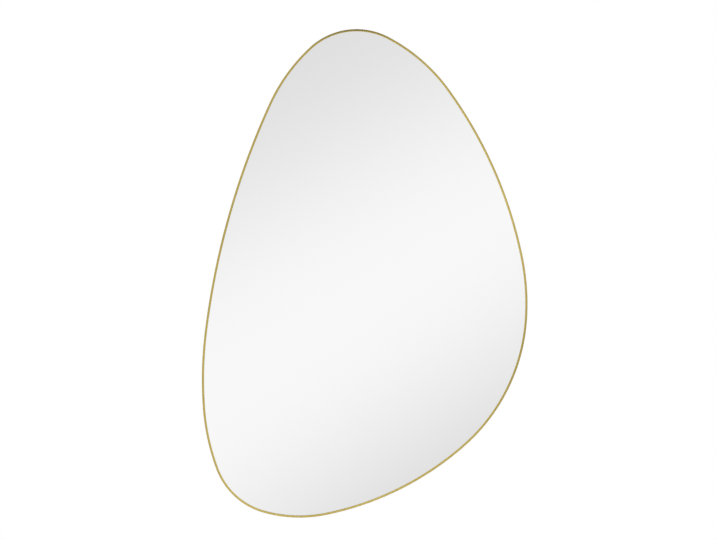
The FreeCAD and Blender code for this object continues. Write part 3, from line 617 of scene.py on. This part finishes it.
# %% Fibreboard
def flecks(tree, place, turn, along, across):
    """Short strokes: the coordinates are turned first, and then noise is squeezed one way, so that its lumps
    are long the other way."""
    turned = stretched(tree, place, (1, 1, 1), (0, np.radians(turn), 0))
    return grain(tree, stretched(tree, turned, (across, across, along)), 1.0, 2.0, 0.6)


def felted(tree, place, turns, along, across):
    """The mean of three layers of flecks, each turned its own way."""
    first, second, third = [flecks(tree, place, turn, along, across) for turn in turns]
    return math(tree, "MULTIPLY", math(tree, "ADD", math(tree, "ADD", first, second), third), 1 / 3)


def board_finish():
    finish, tree, shader = new_finish("fibreboard", Roughness=0.78, Specular_IOR_Level=0.3)
    place = object_place(tree)
    fibres = felted(tree, place, (12, 74, 131), 420, 1500)
    clouds = grain(tree, place, 9.0, 4.0, 0.6)
    dust = spread(tree, grain(tree, place, 2600, 2.0), 0.0, 1.0, 0.62, 0.78)
    base = blend(tree, spread(tree, clouds, 0, 1), (0.355, 0.235, 0.128, 1), (0.43, 0.30, 0.175, 1))
    flecked = blend(tree, spread(tree, fibres, 0, 0.62, 0.42, 0.6), base, (0.25, 0.145, 0.068, 1))
    dusted = blend(tree, math(tree, "MULTIPLY", dust, 0.35), flecked, (0.60, 0.47, 0.32, 1))
    tree.links.new(dusted, shader.inputs["Base Color"])
    raise_bumps(tree, shader, math(tree, "ADD", fibres, math(tree, "MULTIPLY", clouds, 0.5)), 0.1 * MM, 0.5)
    return finish


dress("backing_board", board_finish())
print("board back at", round(BOARD_BACK / MM, 2), "mm off the wall")

# %% [markdown]
# ## The pieces between glass and board
#
# A woven polypropylene film is glued to the glass's back, so that splinters stay together if the mirror
# breaks, and strips of closed-cell foam join it to the board. Both are hidden once the mirror is closed, but
# they are finished like the rest, for a view of the opened mirror.

# %% Film and foam
WEAVE_WIDTH = 2.5 * MM


def film_finish():
    """A plain weave of flat tapes: two sets of ribs at right angles, taking turns on top. A rib's height is
    the size of the sine of pi times the place over a tape's width."""
    finish, tree, shader = new_finish("white_woven_film", Roughness=0.42, Specular_IOR_Level=0.45)
    parts = add(tree, "ShaderNodeSeparateXYZ", object_place(tree)).outputs
    per_metre = np.pi / WEAVE_WIDTH
    across = math(tree, "SINE", math(tree, "MULTIPLY", parts[0], per_metre))
    upward = math(tree, "SINE", math(tree, "MULTIPLY", parts[2], per_metre))
    on_top = math(tree, "GREATER_THAN", math(tree, "MULTIPLY", across, upward), 0.0)
    ribs = blend(tree, on_top, math(tree, "ABSOLUTE", across), math(tree, "ABSOLUTE", upward), "FLOAT")
    tree.links.new(blend(tree, ribs, (0.66, 0.67, 0.67, 1), (0.86, 0.87, 0.87, 1)),
                   shader.inputs["Base Color"])
    raise_bumps(tree, shader, ribs, 0.1 * MM, 0.6)
    return finish


def foam_finish():
    """Closed cells about 0.3 mm wide: dark where cell walls meet, and pale over each bubble."""
    finish, tree, shader = new_finish("grey_foam", Roughness=0.85, Specular_IOR_Level=0.2)
    place = object_place(tree)
    cells = add(tree, "ShaderNodeTexVoronoi", place)
    cells.inputs["Scale"].default_value = 3200
    bubble = spread(tree, cells.outputs["Distance"], 1.0, 0.0, 0.1, 0.7)
    patchy = grain(tree, place, 60.0, 3.0)
    tone = math(tree, "ADD", math(tree, "MULTIPLY", bubble, 0.6), math(tree, "MULTIPLY", patchy, 0.4))
    tree.links.new(blend(tree, tone, (0.12, 0.12, 0.125, 1), (0.27, 0.27, 0.275, 1)),
                   shader.inputs["Base Color"])
    raise_bumps(tree, shader, bubble, 0.1 * MM, 0.5)
    return finish


dress("safety_film", film_finish())
foam = foam_finish()
foam_tapes = [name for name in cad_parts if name.startswith("foam_tape")]
for name in foam_tapes:
    dress(name, foam)
print("foam tapes:", len(foam_tapes))

# %% [markdown]
# ## Spring steel, plain steel and black screws
#
# Three steels sit in the frame's back. The bowed clips are blued: heat gives steel an oxide skin whose colour
# runs from straw to blue with its thickness, so a slow noise moves between neighbouring tints. The splice
# plate is bare rolled steel with a grain along its rolling, and a little grey mottling. The set screws are
# black oxide, oily and nearly matt.

# %% Steels
def blued_finish():
    finish, tree, shader = new_finish("blued_spring_steel", Metallic=1.0)
    place = object_place(tree)
    heat = grain(tree, place, 70.0, 3.0, 0.6)
    rolled = grain(tree, stretched(tree, place, (400, 4000, 400)), 1.0, 2.0)
    tint = blend(tree, spread(tree, heat, 0, 1), (0.105, 0.125, 0.20, 1), (0.23, 0.175, 0.13, 1))
    tree.links.new(tint, shader.inputs["Base Color"])
    tree.links.new(spread(tree, rolled, 0.28, 0.45), shader.inputs["Roughness"])
    raise_bumps(tree, shader, rolled, 0.02 * MM, 0.4)
    return finish


def rolled_finish():
    finish, tree, shader = new_finish("rolled_steel", Metallic=1.0)
    place = object_place(tree)
    lines = grain(tree, stretched(tree, place, (90, 3000, 3000)), 1.0, 3.0, 0.6)
    mottle = grain(tree, place, 420.0, 4.0, 0.65)
    tone = math(tree, "ADD", math(tree, "MULTIPLY", lines, 0.55), math(tree, "MULTIPLY", mottle, 0.45))
    tree.links.new(blend(tree, spread(tree, tone, 0, 1, 0.35, 0.65), (0.24, 0.235, 0.23, 1),
                         (0.47, 0.465, 0.455, 1)), shader.inputs["Base Color"])
    tree.links.new(spread(tree, mottle, 0.36, 0.55), shader.inputs["Roughness"])
    raise_bumps(tree, shader, lines, 0.02 * MM, 0.5)
    return finish


def black_oxide_finish():
    finish, tree, shader = new_finish("black_oxide_steel", Metallic=1.0)
    place = object_place(tree)
    skin = grain(tree, place, 2500.0, 3.0, 0.6)
    tree.links.new(blend(tree, spread(tree, skin, 0, 1), (0.025, 0.026, 0.03, 1), (0.085, 0.085, 0.09, 1)),
                   shader.inputs["Base Color"])
    tree.links.new(spread(tree, skin, 0.36, 0.52), shader.inputs["Roughness"])
    raise_bumps(tree, shader, skin, 0.03 * MM, 0.5)
    return finish


blued = blued_finish()
spring_clips = [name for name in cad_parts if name.startswith("spring_clip")]
for name in spring_clips:
    dress(name, blued)
dress("splice_plate", rolled_finish())
dress("splice_screws", black_oxide_finish())
print("spring clips:", len(spring_clips))

# %% [markdown]
# ## Zinc-plated hangers
#
# Each hanger is a strip of 0.8 mm steel, folded round the leg of a D-ring and closed on itself, so its flat
# is two sheets thick. Two pan-head screws hold it. All of it is zinc plated: a bright, slightly blue metal
# with faint clouds, because the plating's tiny crystals lie differently from patch to patch.

# %% Zinc finish
def zinc_finish():
    finish, tree, shader = new_finish("zinc_plate", Metallic=1.0)
    place = object_place(tree)
    clouds = grain(tree, place, 260.0, 4.0, 0.6)
    fine = grain(tree, place, 4200.0, 2.0)
    rubbed = grain(tree, stretched(tree, place, (600, 600, 2600)), 1.0, 3.0, 0.7)
    handling = spread(tree, rubbed, 0, 1, 0.55, 0.75)
    plate = blend(tree, spread(tree, clouds, 0, 1), (0.52, 0.55, 0.59, 1), (0.66, 0.675, 0.68, 1))
    tree.links.new(blend(tree, math(tree, "MULTIPLY", handling, 0.3), plate, (0.40, 0.41, 0.42, 1)),
                   shader.inputs["Base Color"])
    tree.links.new(math(tree, "ADD", spread(tree, clouds, 0.22, 0.34), math(tree, "MULTIPLY", fine, 0.08)),
                   shader.inputs["Roughness"])
    raise_bumps(tree, shader, math(tree, "ADD", fine, handling), 0.02 * MM, 0.35)
    return finish


zinc = zinc_finish()
print("nodes in the zinc finish:", len(zinc.node_tree.nodes))

# %% [markdown]
# ## The straps
#
# The strap is one strip, so it is made as one: its middle line starts at the foot against the board, climbs
# to the eye, goes round it and comes down to the foot again on the wall side. A rounded section is carried
# along that line. Near both ends it narrows along a quarter circle, which rounds the foot's corners.
#
# The middle line needs the two points where it leaves the eye. Seen from a point outside a circle, the two
# tangents touch it at plus and minus the angle whose cosine is the radius over the distance.

# %% Hanger sizes
STRAP_SHEET, STRAP_WIDTH, STRAP_LENGTH, STRAP_RAMP = 0.8 * MM, 12 * MM, 38 * MM, 6 * MM
FOOT_ROUND, SHEET_ROUND, BEND_ROUND, SHEET_GAP = 4 * MM, 0.22 * MM, 3 * MM, 0.02 * MM
RING_BAR, RING_PLATE, RING_HALF_WIDTH = 2.4 * MM, 2 * MM, 9 * MM
RING_CORNER, RING_SIDE, RING_ROUND = 2.5 * MM, 3 * MM, 0.45 * MM
EYE_GAP = 0.05 * MM
EYE = np.hypot(RING_BAR, RING_PLATE) / 2 + EYE_GAP
SCREW_DROP, SCREW_PITCH = 20 * MM, 11 * MM
EYE_STEPS, FOOT_STEPS, SECTION_STEPS = 28, 9, 6


def hinge_of(side):
    """The hinge's place: the ring's leg is the ring's top, half a bar below the top of its box."""
    low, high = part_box("hanger_ring_" + side)
    return np.array([(low.x + high.x) / 2, (low.y + high.y) / 2, high.z - RING_BAR / 2])


def tangent_angle(point, radius, side):
    """The direction, from the circle's centre, of the point where a tangent from outside touches it."""
    return np.arctan2(point[1], point[0]) + side * np.arccos(radius / np.hypot(*point))


print("radius inside the eye:", round(EYE / MM, 3), "mm")

# %% Straps
def strap_line(board_plane):
    """The strip's middle line as (y, z) from the hinge, with the half width at each point. The foot's corner
    is a quarter circle: with r its radius and t its angle, the end stands back by r (1 - cos t) where the
    half width has shrunk by r (1 - sin t)."""
    radius = EYE + STRAP_SHEET / 2
    under = np.array([board_plane + STRAP_SHEET / 2, -STRAP_RAMP])
    over = under + np.array([STRAP_SHEET, 0])
    down = np.array([0, STRAP_RAMP - STRAP_LENGTH])
    start, end = tangent_angle(under, radius, -1) + 2 * np.pi, tangent_angle(over, radius, 1)
    turn = np.linspace(start, end, EYE_STEPS)
    eye = radius * np.stack([np.cos(turn), np.sin(turn)], axis=1)
    corner_turn = np.linspace(0, np.pi / 2, FOOT_STEPS)
    end_rows = np.stack([np.zeros(FOOT_STEPS), FOOT_ROUND * (1 - np.cos(corner_turn))], axis=1)
    low_bend = rounded([under + down, under, eye[0]], [0, BEND_ROUND, 0])[0].reshape(3, -1, 2)[1]
    high_bend = rounded([eye[-1], over, over + down], [0, BEND_ROUND, 0])[0].reshape(3, -1, 2)[1]
    line = np.vstack([under + down + end_rows, low_bend, eye, high_bend, over + down + end_rows[::-1]])
    half = np.full(len(line), STRAP_WIDTH / 2)
    shrink = FOOT_ROUND * (1 - np.sin(corner_turn))
    half[:FOOT_STEPS] -= shrink
    half[-FOOT_STEPS:] -= shrink[::-1]
    return line, half


def strap_piece(side):
    """Each vertex is the middle line's point plus its left-hand normal times the section's second coordinate;
    the section's first coordinate, less what the foot has narrowed, lies across."""
    hinge = hinge_of(side)
    line, half = strap_line(-BOARD_BACK - hinge[1])
    along = np.gradient(line, axis=0)
    along /= np.linalg.norm(along, axis=1)[:, None]
    thick = np.stack([-along[:, 1], along[:, 0]], axis=1)
    wide, deep = STRAP_WIDTH / 2, (STRAP_SHEET - SHEET_GAP) / 2
    section, _ = rounded([(-wide, -deep), (wide, -deep), (wide, deep), (-wide, deep)], SHEET_ROUND)
    across = section[None, :, 0] + np.sign(section[None, :, 0]) * (half[:, None] - wide)
    place = line[:, None, :] + thick[:, None, :] * section[None, :, 1:2]
    vertices = np.stack([across, place[..., 0], place[..., 1]], axis=-1).reshape(-1, 3) + hinge
    rows, columns = len(line), len(section)
    ends = [list(range(columns))[::-1], list(range((rows - 1) * columns, rows * columns))]
    return mesh_piece("folded_strap_" + side, vertices, grid_faces(rows, columns) + ends, finish=zinc)


for side in ("left", "right"):
    strap = strap_piece(side)
    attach(strap, "mirror_body")
    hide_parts("hanger_strap_" + side)
    print("strap faces:", len(strap.data.polygons))

# %% [markdown]
# ## The D-rings
#
# The rings are stamped from 2 mm plate: a straight leg that turns in the strap's eye, two rounded corners,
# short sides and a half-round bow. Stamping and tumbling leave every edge softly rounded. The middle line is
# three arcs with straight runs between them, and a rounded section is carried round it as a closed grid.

# %% Rings
BOW_STEPS, CORNER_STEPS = 33, 13


def ring_piece(side):
    """Each vertex is the middle line's point plus its outward direction times the section's first
    coordinate; the second coordinate is the depth."""
    hinge = hinge_of(side)
    low = RING_CORNER + RING_SIDE
    arcs = [((0, -low), RING_HALF_WIDTH, 180, 360, BOW_STEPS),
            ((RING_HALF_WIDTH - RING_CORNER, -RING_CORNER), RING_CORNER, 0, 90, CORNER_STEPS),
            ((RING_CORNER - RING_HALF_WIDTH, -RING_CORNER), RING_CORNER, 90, 180, CORNER_STEPS)]
    outward = np.vstack([compass(np.linspace(first, last, count)) for _, _, first, last, count in arcs])
    line = np.vstack([np.array(center) + radius * compass(np.linspace(first, last, count))
                      for center, radius, first, last, count in arcs])
    wide, deep = RING_BAR / 2, RING_PLATE / 2
    corners = [(-wide, -deep), (wide, -deep), (wide, deep), (-wide, deep)]
    section, slopes = rounded(corners, RING_ROUND, SECTION_STEPS)
    flat = line[:, None, :] + outward[:, None, :] * section[None, :, :1]
    lean = outward[:, None, :] * slopes[None, :, :1]
    depth = np.broadcast_to(section[None, :, 1], flat.shape[:2])
    front = np.broadcast_to(slopes[None, :, 1], flat.shape[:2])
    vertices = np.stack([flat[..., 0], depth, flat[..., 1]], axis=-1).reshape(-1, 3) + hinge
    normals = np.stack([lean[..., 0], front, lean[..., 1]], axis=-1).reshape(-1, 3)
    faces = grid_faces(len(line), len(section), close_rows=True)
    return mesh_piece("stamped_ring_" + side, vertices, faces, normals, zinc)


for side in ("left", "right"):
    ring = ring_piece(side)
    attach(ring, side + "_ring")
    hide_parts("hanger_ring_" + side)
    print("ring faces:", len(ring.data.polygons))

# %% [markdown]
# ## The screws
#
# A pan head is a low dome with a steep rim. As a function of the distance from its middle its height falls
# as a root of one less the fourth power, which is flat in the middle and upright at the rim. The cross recess
# is cut from that height: it is deep where a point lies near one of two lines through the middle, and the
# cut ends and softens a little way out. Under the head the grid carries on down the shank to the point.

# %% Pan-head screws
HEAD_RADIUS, HEAD_HEIGHT, SEAT_RADIUS = 3.5 * MM, 2.2 * MM, 3.35 * MM
SHANK_RADIUS, SCREW_BITE, POINT_LENGTH, POINT_RADIUS = 1.75 * MM, 5.2 * MM, 1.6 * MM, 0.1 * MM
SLOT_HALF, SLOT_REACH, SLOT_DEPTH = 0.5 * MM, 1.95 * MM, 1.35 * MM
SLOT_SOFT, SLOT_TAPER = 0.12 * MM, 0.62
HEAD_ROWS, HEAD_MIDDLE, TURNS = 26, 0.02, 96


def smooth(value):
    """A step that rises from 0 to 1 with level ends: 3 v v - 2 v v v."""
    value = np.clip(value, 0, 1)
    return value * value * (3 - 2 * value)


def recess(radius, angle):
    """Depth of the cross: full where a place is nearer than the slot's half width to one of its two lines,
    softened at the sides, and less by a share of the squared distance from the middle."""
    aside = radius * np.minimum(np.abs(np.sin(angle)), np.abs(np.cos(angle)))
    arms = smooth((SLOT_HALF - aside) / SLOT_SOFT + 0.5) * smooth((SLOT_REACH - radius) / SLOT_SOFT + 0.5)
    return SLOT_DEPTH * arms * (1 - SLOT_TAPER * (radius / SLOT_REACH) ** 2)


def screw_vertices(turn):
    """Rows from the head's middle to the shank's point, as (x, height, z) about the screw's own axis. The
    head's height is its full height times the root of one less the fourth power of the radius's share."""
    angle = np.arange(TURNS) * 2 * np.pi / TURNS
    head = np.sin(np.linspace(HEAD_MIDDLE, 1, HEAD_ROWS) * np.pi / 2) * HEAD_RADIUS
    dome = HEAD_HEIGHT * np.sqrt(np.clip(1 - (head / HEAD_RADIUS) ** 4, 0, 1))
    height = dome[:, None] - recess(head[:, None], angle[None] - np.radians(turn))
    through = STRAP_SHEET * 2 + SCREW_BITE
    below = np.array([(SEAT_RADIUS, 0), (SHANK_RADIUS, 0), (SHANK_RADIUS, POINT_LENGTH - through),
                      (POINT_RADIUS, -through)])
    radius = np.concatenate([head, below[:, 0]])
    height = np.vstack([height, np.broadcast_to(below[:, 1:], (len(below), TURNS))])
    return np.stack([radius[:, None] * np.cos(angle), height, radius[:, None] * np.sin(angle)], axis=-1)


def screws_piece(side, turns):
    """Both screws of one hanger in one mesh, each turned as far as it happened to go in."""
    hinge = hinge_of(side)
    seat = 2 * STRAP_SHEET - BOARD_BACK
    blocks, faces = [], []
    for number, turn in enumerate(turns):
        rows = screw_vertices(turn)
        place = np.array([hinge[0], seat, hinge[2] - SCREW_DROP - number * SCREW_PITCH])
        start = number * rows.shape[0] * TURNS
        quads = np.array(grid_faces(rows.shape[0], TURNS)) + start
        caps = [list(range(start, start + TURNS))[::-1],
                list(range(start + (rows.shape[0] - 1) * TURNS, start + rows.shape[0] * TURNS))]
        faces += quads.tolist() + caps
        blocks.append(rows.reshape(-1, 3) + place)
    return mesh_piece("pan_head_screws_" + side, np.vstack(blocks), faces, finish=zinc)


for side, turns in (("left", (18, 61)), ("right", (74, 33))):
    screws = screws_piece(side, turns)
    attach(screws, "mirror_body")
    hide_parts("hanger_screws_" + side)
    print("screw faces:", len(screws.data.polygons))

# %% [markdown]
# ## The felt pads
#
# Four punched discs of pressed wool keep the frame off the wall. A punch presses the felt's rim a little, and
# the face that touched the wall is slightly crowned. The surface is a tangle of fibres, so its outline is
# never quite round: a few waves of different counts around the rim give that.

# %% Felt pads
PAD_RADIUS, PAD_ROUND, PAD_WAVES, PAD_CROWN = 5 * MM, 0.55 * MM, 0.05 * MM, 0.06 * MM
PAD_MIDDLE, GLUED_MIDDLE = 0.03, 0.2 * MM  # where each face's last ring of faces stops and its cap starts
RIM_COUNTS = (5, 9, 14)
PAD_SIDES, PAD_FACE_ROWS, PAD_RIM_ROWS = 72, 9, 7


def felt_finish():
    finish, tree, shader = new_finish("grey_felt", Roughness=1.0, Specular_IOR_Level=0.1, Sheen_Weight=0.35,
                                      Sheen_Roughness=0.6)
    place = object_place(tree)
    tangle = felted(tree, place, (25, 88, 149), 650, 5200)
    clumps = grain(tree, place, 500.0, 3.0, 0.6)
    tone = math(tree, "ADD", math(tree, "MULTIPLY", tangle, 0.8), math(tree, "MULTIPLY", clumps, 0.2))
    color = blend(tree, spread(tree, tone, 0, 1, 0.36, 0.66), (0.12, 0.12, 0.125, 1), (0.33, 0.33, 0.33, 1))
    tree.links.new(color, shader.inputs["Base Color"])
    raise_bumps(tree, shader, tone, 0.3 * MM, 0.8)
    return finish


def pad_piece(name, seed):
    """A lathe's grid: rows along a profile from the wall face's middle, over the rim, to the glued face's
    middle. Each radius is made less by a share that swings between nothing and twice the waves' size over
    the radius, as the mean of three sines round the rim."""
    low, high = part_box(name)
    center = np.array((low + high) / 2)
    thick = FRAME_BACK
    steps = np.linspace(0, np.pi / 2, PAD_RIM_ROWS)[1:]
    face = np.linspace(PAD_MIDDLE, 1, PAD_FACE_ROWS) * (PAD_RADIUS - PAD_ROUND)
    radius = np.concatenate([face, PAD_RADIUS - PAD_ROUND * (1 - np.sin(steps)), [PAD_RADIUS, GLUED_MIDDLE]])
    level = np.concatenate([PAD_CROWN * (face / face[-1]) ** 2,
                            PAD_CROWN + (PAD_ROUND - PAD_CROWN) * (1 - np.cos(steps)), [thick, thick]])
    angle = np.arange(PAD_SIDES) * 2 * np.pi / PAD_SIDES
    phase = np.random.default_rng(seed).uniform(0, 2 * np.pi, len(RIM_COUNTS))
    wave = sum(np.sin(count * angle + start) for count, start in zip(RIM_COUNTS, phase)) / len(RIM_COUNTS)
    reach = radius[:, None] * (1 - PAD_WAVES / PAD_RADIUS * (1 + wave[None]))
    vertices = np.stack([reach * np.cos(angle), np.broadcast_to(-level[:, None], reach.shape),
                         reach * np.sin(angle)], axis=-1).reshape(-1, 3)
    rows = len(radius)
    caps = [list(range(PAD_SIDES))[::-1], list(range((rows - 1) * PAD_SIDES, rows * PAD_SIDES))]
    vertices += np.array([center[0], 0, center[2]])
    return mesh_piece("felt_pad_" + name[-1], vertices, grid_faces(rows, PAD_SIDES) + caps, finish=felt)


felt = felt_finish()
pads = sorted(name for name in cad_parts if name.startswith("wall_pad"))
for number, name in enumerate(pads):
    piece = pad_piece(name, number)
    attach(piece, "mirror_body")
    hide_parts(name)
print("felt pads:", len(pads))

# %% [markdown]
# ## How the colours are shown
#
# Colours are shown as they are written: no filmic curve bends them.

# %% Colours as they are written
bpy.context.scene.view_settings.view_transform = "Standard"
